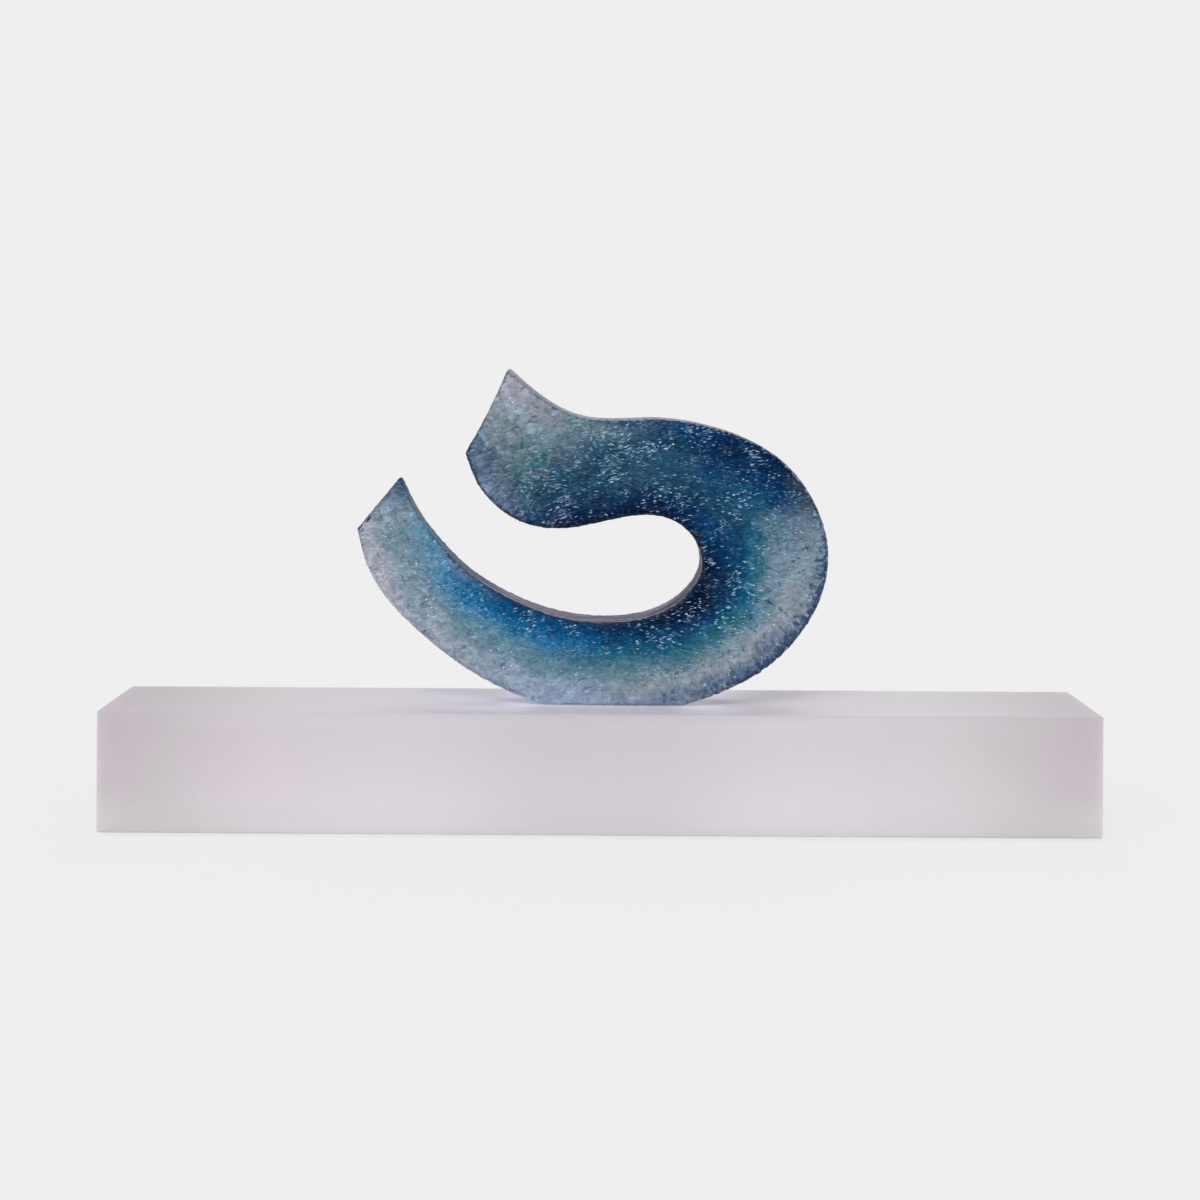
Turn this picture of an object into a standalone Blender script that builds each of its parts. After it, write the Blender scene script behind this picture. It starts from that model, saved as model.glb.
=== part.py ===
"""Abstract spiral sculpture: one resin casting, pinned and bonded to a long frosted block.

Metres, +Z up. The origin is on the surface that the foot pads stand on, under the middle of
the block. +X runs along the block, and the front is -Y.
"""

import math

import bmesh
import bpy
import numpy as np
from mathutils import Matrix, Vector

MM = 0.001

# The block
PLINTH_LENGTH = 600.0 * MM
PLINTH_DEPTH = 100.0 * MM
PLINTH_HEIGHT = 72.5 * MM
PLINTH_EASE = 0.8 * MM

# The pads under the block's corners
PAD_DIAMETER = 20.0 * MM
PAD_THICKNESS = 2.0 * MM
PAD_INSET = 12.0 * MM
PAD_EASE = 0.4 * MM

# The film of adhesive between faces that are stuck together
BOND = 0.3 * MM

# The spiral form, overall and in section
FORM_SPAN = 289.4 * MM
FORM_RISE = 205.2 * MM
BODY_THICKNESS = 42.0 * MM
TIP_THICKNESS = 14.0 * MM
EDGE_ROUND = 2.0 * MM
UPPER_END_HOLLOW = 1.5 * MM

# The middle of the form's foot, from the middle of the block's top
FOOT_OFFSET_X = 3.3 * MM
FOOT_OFFSET_Y = 1.5 * MM

# The dowels between form and block
PIN_DIAMETER = 6.0 * MM
PIN_SPACING = 50.0 * MM
PIN_DEPTH_IN_BLOCK = 20.0 * MM
PIN_DEPTH_IN_FORM = 20.0 * MM
PIN_EASE = 0.5 * MM
PIN_CLEARANCE = 0.3 * MM

# The form's outline as ribs across it, from the upper end to the lower tip, in millimetres
# from the middle of the foot: inner edge (x, z), outer edge (x, z). The spline through them
# is stretched to FORM_SPAN and FORM_RISE, and what falls under z = 0 is cut off as the foot.
RIBS = (
    ((-86.6, 153.6), (-60.9, 205.2)),
    ((-77.3, 131.9), (-44.3, 190.8)),
    ((-57.7, 114.2), (-21.8, 177.8)),
    ((-31.3, 107.6), (2.7, 174.2)),
    ((1.7, 112.9), (32.7, 175.0)),
    ((29.7, 116.0), (70.7, 168.3)),
    ((50.2, 106.2), (108.7, 148.4)),
    ((58.5, 88.0), (132.5, 110.5)),
    ((53.7, 73.0), (132.7, 71.5)),
    ((36.7, 58.2), (108.7, 32.5)),
    ((10.7, 51.0), (68.7, 7.4)),
    ((-19.3, 51.6), (4.7, -6.5)),
    ((-49.3, 60.0), (-53.3, 5.0)),
    ((-79.3, 76.2), (-91.3, 25.0)),
    ((-101.8, 96.8), (-120.8, 48.6)),
    ((-116.8, 117.0), (-144.1, 76.6)),
    ((-127.3, 138.0), (-153.9, 105.8)),
)
TAPER_START = 11

# How finely curves are cut into flats
STATIONS_PER_RIB = 5
QUADS_ACROSS = 4
ROUND_SIDES = 32
EASE_SEGMENTS = 2
SHARP_ANGLE = math.radians(40.0)

# Heights that follow from the sizes above
PLINTH_UNDERSIDE = PAD_THICKNESS + BOND
PLINTH_TOP = PLINTH_UNDERSIDE + PLINTH_HEIGHT
FOOT_LEVEL = PLINTH_TOP + BOND


def clear_scene():
    for obj in list(bpy.data.objects):
        bpy.data.objects.remove(obj)


def material(name, colour, roughness, metallic=0.0):
    made = bpy.data.materials.new(name)
    made.use_nodes = True
    shader = made.node_tree.nodes["Principled BSDF"]
    shader.inputs["Base Color"].default_value = (*colour, 1.0)
    shader.inputs["Roughness"].default_value = roughness
    shader.inputs["Metallic"].default_value = metallic
    made.diffuse_color = (*colour, 1.0)
    return made


def add_object(name, bm, place, finish):
    """Turns a bmesh into a named object that stands at place."""
    bmesh.ops.recalc_face_normals(bm, faces=bm.faces)
    mesh = bpy.data.meshes.new(name)
    bm.to_mesh(mesh)
    bm.free()
    mesh.shade_smooth()
    mesh.set_sharp_from_angle(angle=SHARP_ANGLE)
    mesh.materials.append(finish)
    obj = bpy.data.objects.new(name, mesh)
    obj.location = place
    bpy.context.scene.collection.objects.link(obj)
    return obj


def sharp_edges(bm):
    return [edge for edge in bm.edges if edge.calc_face_angle() > SHARP_ANGLE]


def ease_edges(bm, edges, width):
    bmesh.ops.bevel(
        bm,
        geom=edges,
        offset=width,
        offset_type="OFFSET",
        segments=EASE_SEGMENTS,
        profile=0.5,
        affect="EDGES",
        material=-1,
    )


def cylinder(diameter, length):
    """A closed cylinder that stands on z = 0."""
    bm = bmesh.new()
    bmesh.ops.create_cone(
        bm,
        cap_ends=True,
        segments=ROUND_SIDES,
        radius1=diameter / 2,
        radius2=diameter / 2,
        depth=length,
        matrix=Matrix.Translation((0.0, 0.0, length / 2)),
    )
    return bm


def drill(target, name, bottom, depth):
    """Cuts a dowel's upright hole, depth long from the point bottom, out of target."""
    hole = cylinder(PIN_DIAMETER + 2 * PIN_CLEARANCE, depth)
    tool = add_object(name, hole, bottom, target.data.materials[0])
    tool.hide_render = True
    tool.display_type = "WIRE"
    cut = target.modifiers.new(name, "BOOLEAN")
    cut.operation = "DIFFERENCE"
    cut.solver = "EXACT"
    cut.object = tool


def natural_spline(points, steps):
    """Points on the natural cubic spline through points, steps to each span between two.

    The parameter grows with the square root of each span, which keeps uneven spans smooth.
    """
    knots = np.array(points)
    spans = np.sqrt(np.linalg.norm(np.diff(knots, axis=0), axis=1))
    places = np.concatenate(([0.0], np.cumsum(spans)))
    system = np.eye(len(knots))
    slopes = np.zeros_like(knots)
    for i in range(1, len(knots) - 1):
        before, after = spans[i - 1], spans[i]
        system[i, i - 1:i + 2] = (before, 2 * (before + after), after)
        rise_after = (knots[i + 1] - knots[i]) / after
        rise_before = (knots[i] - knots[i - 1]) / before
        slopes[i] = 6 * (rise_after - rise_before)
    bends = np.linalg.solve(system, slopes)
    curve = []
    for i, span in enumerate(spans):
        for place in np.arange(steps) * span / steps + places[i]:
            a = (places[i + 1] - place) / span
            b = 1 - a
            bend = ((a**3 - a) * bends[i] + (b**3 - b) * bends[i + 1]) * span**2 / 6
            curve.append(a * knots[i] + b * knots[i + 1] + bend)
    curve.append(knots[-1])
    return np.array(curve)


def form_edges():
    """The form's inner and outer edge as (x, z) arrays, at its real size."""
    inner = natural_spline([rib[0] for rib in RIBS], STATIONS_PER_RIB)
    outer = natural_spline([rib[1] for rib in RIBS], STATIONS_PER_RIB)
    both = np.concatenate((inner, outer))
    stretch = np.array((FORM_SPAN / np.ptp(both[:, 0]), FORM_RISE / both[:, 1].max()))
    return inner * stretch, outer * stretch


def form_thickness(station):
    """Full thickness from the upper end to the foot, then an even taper to the lower tip."""
    start = TAPER_START * STATIONS_PER_RIB
    end = (len(RIBS) - 1) * STATIONS_PER_RIB
    share = max(0.0, (station - start) / (end - start))
    return BODY_THICKNESS + (TIP_THICKNESS - BODY_THICKNESS) * share


def station_points(inner, outer, station):
    """The points across the front face at one station, from the inner edge to the outer one."""
    depth = -form_thickness(station) / 2
    along = inner[1] - inner[0]
    inwards = along / np.linalg.norm(along)
    points = []
    for i in range(QUADS_ACROSS + 1):
        share = i / QUADS_ACROSS
        point = inner[station] + (outer[station] - inner[station]) * share
        if station == 0:
            point = point + inwards * UPPER_END_HOLLOW * 4 * share * (1 - share)
        points.append(Vector((point[0], depth, point[1])))
    return points


def only(kind, items):
    return [item for item in items if isinstance(item, kind)]


def extruded_strip(rows):
    """An edge across the first row of points, extruded from row to row."""
    bm = bmesh.new()
    front = [bm.verts.new(point) for point in rows[0]]
    edges = [bm.edges.new(pair) for pair in zip(front, front[1:])]
    for row in rows[1:]:
        grown = bmesh.ops.extrude_edge_only(bm, edges=edges)["geom"]
        fresh = set(only(bmesh.types.BMVert, grown))
        edges = [edge for edge in only(bmesh.types.BMEdge, grown) if set(edge.verts) <= fresh]
        reached = []
        for vert, point in zip(front, row):
            ends = [edge.other_vert(vert) for edge in vert.link_edges]
            moved = next(end for end in ends if end in fresh)
            moved.co = point
            reached.append(moved)
        front = reached
    return bm


def grind_foot(bm):
    """Cuts the form off flat at z = 0, and closes it there."""
    everything = bm.verts[:] + bm.edges[:] + bm.faces[:]
    cut = bmesh.ops.bisect_plane(
        bm,
        geom=everything,
        plane_co=(0.0, 0.0, 0.0),
        plane_no=(0.0, 0.0, -1.0),
        clear_outer=True,
    )["geom_cut"]
    bmesh.ops.edgeloop_fill(bm, edges=only(bmesh.types.BMEdge, cut))


def runs_through(edge):
    """True for an edge that runs from the front face to the back one, such as an end's corner."""
    return abs(edge.verts[0].co.y - edge.verts[1].co.y) > TIP_THICKNESS / 2


def form_mesh():
    """The front face as a strip along the ribs, extruded to the back, ground flat and eased."""
    inner, outer = form_edges()
    bm = extruded_strip([station_points(inner, outer, station) for station in range(len(inner))])
    back = bmesh.ops.extrude_face_region(bm, geom=bm.faces[:])["geom"]
    for vert in only(bmesh.types.BMVert, back):
        vert.co.y = -vert.co.y
    grind_foot(bm)
    bmesh.ops.recalc_face_normals(bm, faces=bm.faces)
    rims = [edge for edge in sharp_edges(bm) if not runs_through(edge)]
    ease_edges(bm, rims, EDGE_ROUND)
    return bm


def plinth_mesh():
    bm = bmesh.new()
    size = Matrix.Diagonal((PLINTH_LENGTH, PLINTH_DEPTH, PLINTH_HEIGHT, 1.0))
    bmesh.ops.create_cube(bm, size=1.0, matrix=Matrix.Translation((0.0, 0.0, PLINTH_HEIGHT / 2)) @ size)
    ease_edges(bm, sharp_edges(bm), PLINTH_EASE)
    return bm


def pin_places():
    """The dowels' names and their axes' (x, y), spread evenly about the foot's middle."""
    for side, sign in (("left", -1), ("right", 1)):
        yield side, FOOT_OFFSET_X + sign * PIN_SPACING / 2, FOOT_OFFSET_Y


def pad_places():
    """The pads' names and centres (x, y), PAD_INSET in from the block's sides."""
    reach_x = PLINTH_LENGTH / 2 - PAD_INSET - PAD_DIAMETER / 2
    reach_y = PLINTH_DEPTH / 2 - PAD_INSET - PAD_DIAMETER / 2
    for end, sign_y in (("front", -1), ("back", 1)):
        for side, sign_x in (("left", -1), ("right", 1)):
            yield f"{end}_{side}", sign_x * reach_x, sign_y * reach_y


def build_form():
    resin = material("blue_green_resin", (0.045, 0.16, 0.25), 0.25)
    form = add_object("spiral_form", form_mesh(), (FOOT_OFFSET_X, FOOT_OFFSET_Y, FOOT_LEVEL), resin)
    depth = BOND + PIN_DEPTH_IN_FORM + PIN_CLEARANCE
    for side, x, y in pin_places():
        drill(form, f"form_hole_{side}", (x, y, FOOT_LEVEL - BOND), depth)


def build_plinth():
    frosted = material("frosted_lilac_block", (0.60, 0.57, 0.61), 0.45)
    plinth = add_object("plinth_block", plinth_mesh(), (0.0, 0.0, PLINTH_UNDERSIDE), frosted)
    depth = PIN_DEPTH_IN_BLOCK + PIN_CLEARANCE
    for side, x, y in pin_places():
        drill(plinth, f"block_hole_{side}", (x, y, PLINTH_TOP - depth), depth + BOND)


def build_pins():
    steel = material("dowel_steel", (0.55, 0.56, 0.58), 0.3, metallic=1.0)
    length = PIN_DEPTH_IN_BLOCK + BOND + PIN_DEPTH_IN_FORM
    for side, x, y in pin_places():
        bm = cylinder(PIN_DIAMETER, length)
        ease_edges(bm, sharp_edges(bm), PIN_EASE)
        add_object(f"locating_pin_{side}", bm, (x, y, PLINTH_TOP - PIN_DEPTH_IN_BLOCK), steel)


def build_pads():
    clear_rubber = material("clear_pad_rubber", (0.72, 0.73, 0.74), 0.4)
    for corner, x, y in pad_places():
        bm = cylinder(PAD_DIAMETER, PAD_THICKNESS)
        ease_edges(bm, sharp_edges(bm), PAD_EASE)
        add_object(f"foot_pad_{corner}", bm, (x, y, 0.0), clear_rubber)


clear_scene()
build_plinth()
build_form()
build_pins()
build_pads()
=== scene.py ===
# %% [markdown]
# # A resin curl on a frosted block
#
# The object is an abstract ornament made of two castings. The upper one is a thick slab of
# clear resin, tinted blue and green while it was wet, that bends round like an open comma and
# stands on a small ground flat. The lower one is a long frosted block of pale lilac resin.
# Steel dowels hold the two together, and clear pads keep them off the shelf.
#
# The solid model gives the sizes and places. This lesson gives the surfaces: the rippled,
# chipped skin of the casting, the tints inside it, the soft frosting of the block, and a
# plain studio to look at them in.

# %% Load the solid model
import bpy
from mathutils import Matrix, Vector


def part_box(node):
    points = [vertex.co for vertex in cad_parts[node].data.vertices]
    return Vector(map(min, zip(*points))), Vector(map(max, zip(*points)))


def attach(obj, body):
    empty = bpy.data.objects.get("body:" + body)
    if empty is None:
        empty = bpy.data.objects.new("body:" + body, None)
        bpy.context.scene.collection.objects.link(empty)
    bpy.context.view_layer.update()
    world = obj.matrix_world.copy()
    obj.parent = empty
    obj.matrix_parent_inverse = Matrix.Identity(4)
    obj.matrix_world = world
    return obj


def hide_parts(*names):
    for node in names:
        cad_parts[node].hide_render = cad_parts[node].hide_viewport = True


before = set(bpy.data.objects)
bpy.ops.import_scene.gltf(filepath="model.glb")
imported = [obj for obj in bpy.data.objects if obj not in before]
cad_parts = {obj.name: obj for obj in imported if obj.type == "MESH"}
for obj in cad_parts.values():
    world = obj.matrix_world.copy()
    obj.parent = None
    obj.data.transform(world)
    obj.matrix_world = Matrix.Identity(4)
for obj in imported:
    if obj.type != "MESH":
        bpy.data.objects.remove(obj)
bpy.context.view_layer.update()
print("solids:", ", ".join(sorted(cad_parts)))

# %% Blender's modules and one unit
import math

import bmesh
import bpy
import numpy as np
from mathutils import Matrix, Vector, kdtree, noise
from mathutils.bvhtree import BVHTree

MM = 0.001
scene = bpy.context.scene

# %% [markdown]
# ## The camera first
#
# The picture was taken level, from a little above the block and straight at its long face:
# the block's upright edges stay upright, and only its top face shows. A level camera with a
# shifted lens gives that. Tilting the camera down would make the upright edges lean. The
# distance follows from how much shorter the block's back edge looks than its front edge.

# %% Level camera with a shifted lens
block_low, block_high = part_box("plinth_block")
CAMERA_DISTANCE = 1297 * MM
CAMERA_SIDE = -3.8 * MM
CAMERA_RISE = 210.3 * MM
CAMERA_ROLL = math.radians(-0.36)
LENS = 65.3
SENSOR = 36.0
SHIFT = (0.0032, -0.199)

lens = bpy.data.cameras.new("studio_camera")
lens.lens = LENS
lens.sensor_width = SENSOR
lens.shift_x, lens.shift_y = SHIFT
camera = bpy.data.objects.new("studio_camera", lens)
camera.location = (CAMERA_SIDE, block_low.y - CAMERA_DISTANCE, block_high.z + CAMERA_RISE)
camera.rotation_euler = (math.radians(90), CAMERA_ROLL, 0)
scene.collection.objects.link(camera)
scene.camera = camera
print("camera at", [round(value, 4) for value in camera.location])

# %% [markdown]
# ## Where on the curl each point lies
#
# Everything on the curl follows its bend: the tints lie in bands from the inner edge to the
# outer one, and the chips point outwards near the rim. So each point needs two numbers, how
# far along the curl it is and how far across. The curl is drawn by ribs, short lines across
# it from the inner edge to the outer edge, and a smooth curve runs through their ends. The
# nearest places on those two curves then give both numbers.

# %% Ribs across the curl, in millimetres from the middle of the foot
RIBS = (
    ((-86.6, 153.6), (-60.9, 205.2)),
    ((-77.3, 131.9), (-44.3, 190.8)),
    ((-57.7, 114.2), (-21.8, 177.8)),
    ((-31.3, 107.6), (2.7, 174.2)),
    ((1.7, 112.9), (32.7, 175.0)),
    ((29.7, 116.0), (70.7, 168.3)),
    ((50.2, 106.2), (108.7, 148.4)),
    ((58.5, 88.0), (132.5, 110.5)),
    ((53.7, 73.0), (132.7, 71.5)),
    ((36.7, 58.2), (108.7, 32.5)),
    ((10.7, 51.0), (68.7, 7.4)),
    ((-19.3, 51.6), (4.7, -6.5)),
    ((-49.3, 60.0), (-53.3, 5.0)),
    ((-79.3, 76.2), (-91.3, 25.0)),
    ((-101.8, 96.8), (-120.8, 48.6)),
    ((-116.8, 117.0), (-144.1, 76.6)),
    ((-127.3, 138.0), (-153.9, 105.8)),
)
LAST_RIB = len(RIBS) - 1

# %% A smooth curve through their ends
STEPS_PER_RIB = 24


def smooth_curve(points, steps):
    """The natural cubic spline through the points, as an array of steps places per span."""
    knots = np.array(points)
    spans = np.sqrt(np.linalg.norm(np.diff(knots, axis=0), axis=1))
    system = np.eye(len(knots))
    turns = np.zeros_like(knots)
    for i in range(1, len(knots) - 1):
        system[i, i - 1:i + 2] = (spans[i - 1], 2 * (spans[i - 1] + spans[i]), spans[i])
        leaving = (knots[i + 1] - knots[i]) / spans[i]
        arriving = (knots[i] - knots[i - 1]) / spans[i - 1]
        turns[i] = 6 * (leaving - arriving)
    bends = np.linalg.solve(system, turns)
    curve = []
    for i, span in enumerate(spans):
        b = (np.arange(steps) / steps)[:, None]
        a = 1 - b
        bend = ((a**3 - a) * bends[i] + (b**3 - b) * bends[i + 1]) * span**2 / 6
        curve.append(a * knots[i] + b * knots[i + 1] + bend)
    curve.append(knots[-1:])
    return np.concatenate(curve)


inner_edge = smooth_curve([rib[0] for rib in RIBS], STEPS_PER_RIB)
outer_edge = smooth_curve([rib[1] for rib in RIBS], STEPS_PER_RIB)
form_low, form_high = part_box("spiral_form")
foot = Vector((
    form_low.x - RIBS[-1][1][0] * MM,
    (form_low.y + form_high.y) / 2,
    form_low.z,
))
print("foot's middle at", [round(value, 4) for value in foot])

# %% Measures from the two edge curves


def nearest_on(curve, places):
    """The distance to the curve, and the rib number of the nearest place on it."""
    tree = kdtree.KDTree(len(curve))
    for i, (x, z) in enumerate(curve):
        tree.insert((x, 0, z), i)
    tree.balance()
    found = [tree.find((x, 0, z))[1:] for x, z in places]
    station, distance = np.array(found).T
    return distance, station / STEPS_PER_RIB


def length_along(curve, rib_number):
    """How far along the curve a rib number lies, in millimetres."""
    steps = np.linalg.norm(np.diff(curve, axis=0), axis=1)
    lengths = np.concatenate(([0], np.cumsum(steps)))
    return np.interp(rib_number * STEPS_PER_RIB, np.arange(len(lengths)), lengths)


def smoothstep(low, high, value):
    share = np.clip((value - low) / (high - low), 0, 1)
    return share * share * (3 - 2 * share)


def window(value, rise, fall):
    """Rises from 0 to 1 over the first pair of values, and falls back over the second."""
    return smoothstep(*rise, value) * (1 - smoothstep(*fall, value))


print("outer edge is", round(float(length_along(outer_edge, LAST_RIB))), "mm long")

# %% [markdown]
# ## A fine skin for the curl
#
# The solid has only a few thousand facets, too coarse for ripples. Subdividing it would keep
# its long thin facets. A voxel remesh lays an even net of small squares over the same shape,
# whatever the facets were, so that is used here, just finer than the ripples. The shape is
# stretched before the remesh and back after it, so that the squares end up wider than high,
# like the ripples. The remesh also softens the rims by about a millimetre, as on the real
# casting.

# %% Copy the solid, weld it and remesh it
NET = 1.09 * MM
NET_STRETCH = (0.82, 1.0, 1.22)
WELD = 0.005 * MM


def welded_copy(node, name):
    """A new object with the solid's shape, its loose triangles joined into one skin."""
    bm = bmesh.new()
    bm.from_mesh(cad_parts[node].data)
    bmesh.ops.remove_doubles(bm, verts=bm.verts, dist=WELD)
    mesh = bpy.data.meshes.new(name)
    bm.to_mesh(mesh)
    bm.free()
    piece = bpy.data.objects.new(name, mesh)
    scene.collection.objects.link(piece)
    return piece


def stretch_mesh(mesh, factors):
    mesh.transform(Matrix.Diagonal((*factors, 1.0)))


def apply_modifiers(piece):
    """Replaces the piece's mesh by the one its modifiers make, and drops them."""
    graph = bpy.context.evaluated_depsgraph_get()
    made = bpy.data.meshes.new_from_object(piece.evaluated_get(graph))
    piece.modifiers.clear()
    piece.data = made


curl = welded_copy("spiral_form", "resin_curl")
stretch_mesh(curl.data, NET_STRETCH)
remesh = curl.modifiers.new("net", "REMESH")
remesh.mode = "VOXEL"
remesh.voxel_size = NET
apply_modifiers(curl)
stretch_mesh(curl.data, [1 / factor for factor in NET_STRETCH])
print("skin has", len(curl.data.vertices), "points and", len(curl.data.polygons), "faces")

# %% Even out the net, and bring it back out to the solid's surface
EVEN_OUT = 0.5
SETTLE = 0.35


def smooth_net(bm, factor):
    """Moves each point that share of the way to the middle of its neighbours."""
    axes = {"use_axis_x": True, "use_axis_y": True, "use_axis_z": True}
    bmesh.ops.smooth_vert(bm, verts=bm.verts, factor=factor, **axes)


bm = bmesh.new()
bm.from_mesh(curl.data)
for _ in range(2):
    smooth_net(bm, EVEN_OUT)
solid = bmesh.new()
solid.from_mesh(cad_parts["spiral_form"].data)
surface = BVHTree.FromBMesh(solid)
sunk = []
for vert in bm.verts:
    nearest = surface.find_nearest(vert.co)[0]
    sunk.append((nearest - vert.co).length / MM)
    vert.co = nearest
solid.free()
smooth_net(bm, SETTLE)
bm.normal_update()
bm.to_mesh(curl.data)
bm.free()
print("the net had sunk by", round(sum(sunk) / len(sunk), 3), "mm, at most by", round(max(sunk), 2))

# %% [markdown]
# ## Ripples and chips
#
# The flat faces of the casting are broken into short wavelets, three to five millimetres
# long, that lie level over most of the curl. In two places they point outwards instead: like
# teeth along the outer rim of the right-hand bend, and in a fan at the lower corner of the
# upper end. The sides were ground and are nearly smooth. Ridged noise gives sharp crests with
# round hollows between them, as wavelets have. It is stretched along the strokes, and each
# point moves a fraction of a millimetre along its normal.

# %% Read the net into arrays
BROAD = (0.12, 0.35)


def mesh_array(mesh, field, width):
    values = np.zeros(len(mesh.vertices) * width, np.float32)
    mesh.vertices.foreach_get(field, values)
    return values.reshape(-1, width).astype(float)


points = mesh_array(curl.data, "co", 3)
normals = mesh_array(curl.data, "normal", 3)
local = (points - np.array(foot)) / MM
face = smoothstep(*BROAD, np.abs(normals[:, 1]))
print("share of the skin on the broad faces:", round(float(face.mean()), 2))

# %% Where each point of the net lies
END_STEPS = 80
places = local[:, (0, 2)]
inner_gap, inner_rib = nearest_on(inner_edge, places)
outer_gap, outer_rib = nearest_on(outer_edge, places)
cut_gap, _ = nearest_on(np.linspace(inner_edge[0], outer_edge[0], END_STEPS), places)
tip_gap, _ = nearest_on(np.linspace(inner_edge[-1], outer_edge[-1], END_STEPS), places)
across = inner_gap / (inner_gap + outer_gap)
rib = inner_rib * (1 - across) + outer_rib * across
rim = np.minimum.reduce([inner_gap, outer_gap, cut_gap, tip_gap, local[:, 2]])

half_rib = np.round(rib * 2).astype(int)
half_thickness = np.zeros(half_rib.max() + 1)
np.maximum.at(half_thickness, half_rib, np.abs(local[:, 1]))
face_depth = np.interp(rib, np.arange(len(half_thickness)) / 2, half_thickness)
side_depth = np.clip(face_depth - np.abs(local[:, 1]), 0, None)
thickness = [round(2 * float(half), 1) for half in (half_thickness.min(), half_thickness.max())]
print("thickness from", thickness[0], "to", thickness[1], "mm")

# %% Strokes: level over most of the curl, outwards in two places
# A stroke's size is in millimetres: along the curl, through it and up or across it.
LEVEL_STROKE = (4.4, 9.0, 1.8)
TOOTH_STROKE = (2.2, 9.0, 5.0)
# Increment, spacing, octaves, offset and gain of the ridged noise.
RIDGES = (0.9, 2.1, 2, 0.9, 1.6)
# Where the teeth and the fan lie: how far in from the edge, and at which ribs.
TEETH_REACH = (7, 24)
TEETH_RIBS = ((6.5, 8.0), (10.0, 11.4))
FAN_REACH = (9, 20)
FAN_RIBS = (1.8, 3.0)
# Keeps the inner edge's strokes away from the outer edge's in the noise.
APART = 900


def ridged(places, stroke, seed):
    """Ridged noise over places in millimetres, with crests as long and wide as the stroke."""
    scaled_places = places / np.array(stroke) + seed
    raw = np.array([noise.ridged_multi_fractal(Vector(p), *RIDGES) for p in scaled_places])
    return (raw - raw.mean()) / raw.std()


def wander(places, size, seed):
    """Soft noise from -1 to 1 with features of that size in millimetres."""
    return np.array([noise.noise(Vector(p)) for p in places / size + seed])


teeth = 1 - smoothstep(*TEETH_REACH, outer_gap + 6 * wander(local, 14, 3))
teeth = teeth * window(rib, *TEETH_RIBS)
fan = 1 - smoothstep(*FAN_REACH, inner_gap + 4 * wander(local, 10, 7))
teeth = np.maximum(teeth, fan * (1 - smoothstep(*FAN_RIBS, rib)))
level_places = local + np.outer(wander(local, 11, 5) * 3.0, (0, 0, 1))
along_outer = length_along(outer_edge, outer_rib)
along_inner = length_along(inner_edge, inner_rib) + APART
from_outer = np.stack((along_outer, local[:, 1], outer_gap), axis=1)
from_inner = np.stack((along_inner, local[:, 1], inner_gap), axis=1)
near_inner = inner_gap < outer_gap
tooth_places = np.where(near_inner[:, None], from_inner, from_outer)
level_crest = ridged(level_places, LEVEL_STROKE, 11)
tooth_crest = ridged(tooth_places, TOOTH_STROKE, 29)
crest = level_crest * (1 - teeth) + tooth_crest * teeth
print("crests from", round(float(crest.min()), 2), "to", round(float(crest.max()), 2))

# %% Move the skin
CRESTS = (-1.6, 2.2)
RIPPLE = 0.24 * MM
SWELL = 0.22 * MM
SWELL_SIZE = 5.0
GRIND = 0.07 * MM
CHIP = 1.9 * MM
CHIP_SIZE = 3.6
FLAKE_SIZE = 1.9
CHIP_REACH = (0.4, 3.2)
FOOT_CLEAR = (1.5, 4.0)

relief = np.clip(crest, *CRESTS) * (GRIND + (RIPPLE - GRIND) * face)
swell = wander(local * (0.6, 1.0, 1.0), SWELL_SIZE, 83) * (0.5 + 0.5 * face)
relief = relief + SWELL * swell
edge_gap = np.where(face > 0.5, np.maximum(rim, side_depth), side_depth)
chips = wander(local * (1.0, 0.7, 1.0), CHIP_SIZE, 41) + 0.5 * wander(local, FLAKE_SIZE, 43)
chipped = smoothstep(0.08, 0.42, chips) * (1 - smoothstep(*CHIP_REACH, edge_gap))
chipped = chipped * smoothstep(*FOOT_CLEAR, local[:, 2])
relief = relief - CHIP * chipped
moved = points + normals * relief[:, None]
moved[:, 2] = np.clip(moved[:, 2], form_low.z, form_high.z)
curl.data.vertices.foreach_set("co", moved.astype(np.float32).ravel())
curl.data.update()
print("deepest hollow", round(float(relief.min()) / MM, 2), "mm")
print("highest crest", round(float(relief.max()) / MM, 2), "mm")

# %% [markdown]
# ## The tints
#
# The maker poured tinted resins side by side: near-black navy and deep blue along the inner
# edge, teal next to it, then almost clear resin towards the outer edge, with lilac grey ends
# and a few blooms of sea green. They ran into each other while wet. A recipe lists, at some
# ribs, which pigment lies where across the curl. The colour between is blended, and a slow
# noise pushes the borders about, as flowing resin would.

# %% Pigments, in the eight-bit values a colour picker shows
PIGMENTS = {
    "ink": (0, 12, 36),
    "navy": (2, 34, 70),
    "marine": (2, 54, 94),
    "azure": (8, 78, 126),
    "cerulean": (26, 98, 142),
    "sea": (72, 124, 152),
    "teal": (22, 60, 86),
    "petrol": (36, 72, 94),
    "lake": (24, 74, 100),
    "reef": (20, 84, 112),
    "lagoon": (58, 104, 124),
    "slate": (88, 104, 128),
    "steel": (104, 120, 144),
    "sage": (86, 112, 122),
    "pewter": (120, 124, 134),
    "dusk": (78, 98, 114),
    "foam": (96, 128, 144),
    "mist": (112, 134, 148),
    "ash": (132, 140, 150),
    "haze": (130, 147, 163),
    "frost": (142, 158, 182),
    "pearl": (148, 151, 162),
    "lilac": (164, 164, 174),
}

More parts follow.
